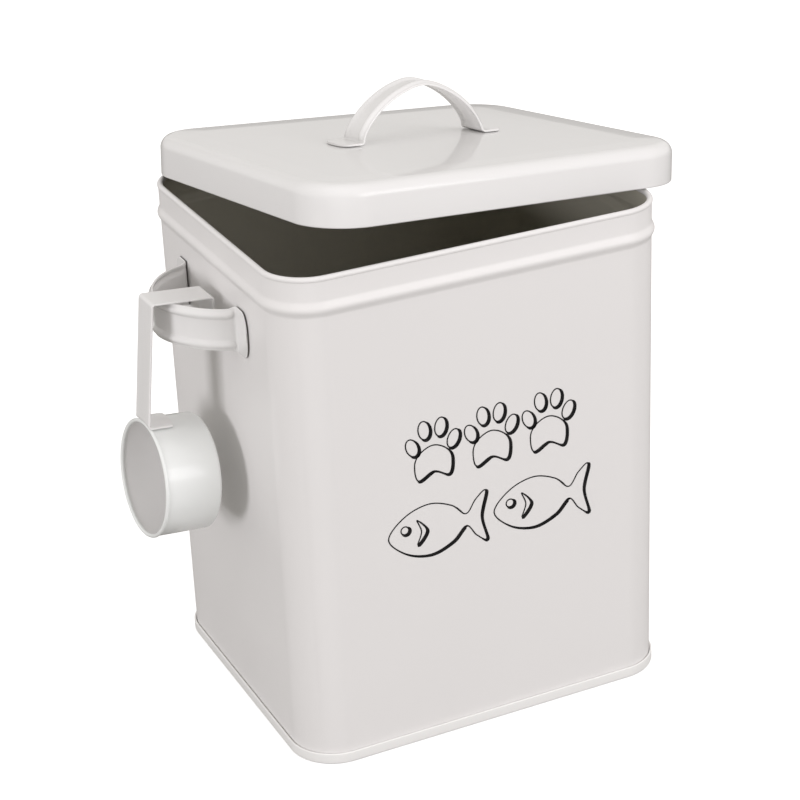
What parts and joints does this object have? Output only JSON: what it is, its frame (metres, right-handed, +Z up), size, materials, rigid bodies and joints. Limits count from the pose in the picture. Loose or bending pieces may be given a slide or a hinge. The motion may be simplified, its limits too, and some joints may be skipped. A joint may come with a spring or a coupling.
{
  "type": "pet food bin",
  "caption": "Enamelled sheet-steel pet food bin with rounded corners, a loose lid lying ajar, strap handles and a hanging measuring scoop.",
  "frame": {"origin": "middle of the flat underside of the base", "axes": "+Z up, +X to the right along the front wall, +Y to the back"},
  "size_m": [0.2586, 0.1844, 0.2791],
  "materials": {
    "bin_enamel": "gloss",
    "base_enamel": "gloss",
    "handle_enamel": "gloss",
    "lid_enamel": "gloss",
    "scoop_enamel": "gloss",
    "print_black": "satin"
  },
  "bodies": {
    "bin": {"body_wall": "bin_enamel", "base_pan": "base_enamel", "side_handle_left": "handle_enamel", "side_handle_right": "handle_enamel"},
    "lid": {"lid_panel": "lid_enamel", "lid_handle": "handle_enamel"},
    "scoop": {"scoop_cup": "scoop_enamel", "scoop_strap": "scoop_enamel"}
  },
  "joints": [
    {"name": "lid_lift", "type": "slide", "parent": "bin", "child": "lid", "axis": [0, 0, 1], "range_m": [0, 0.1]},
    {"name": "scoop_lift", "type": "slide", "parent": "bin", "child": "scoop", "axis": [-0.7071, 0, 0.7071], "range_m": [0, 0.12]}
  ]
}
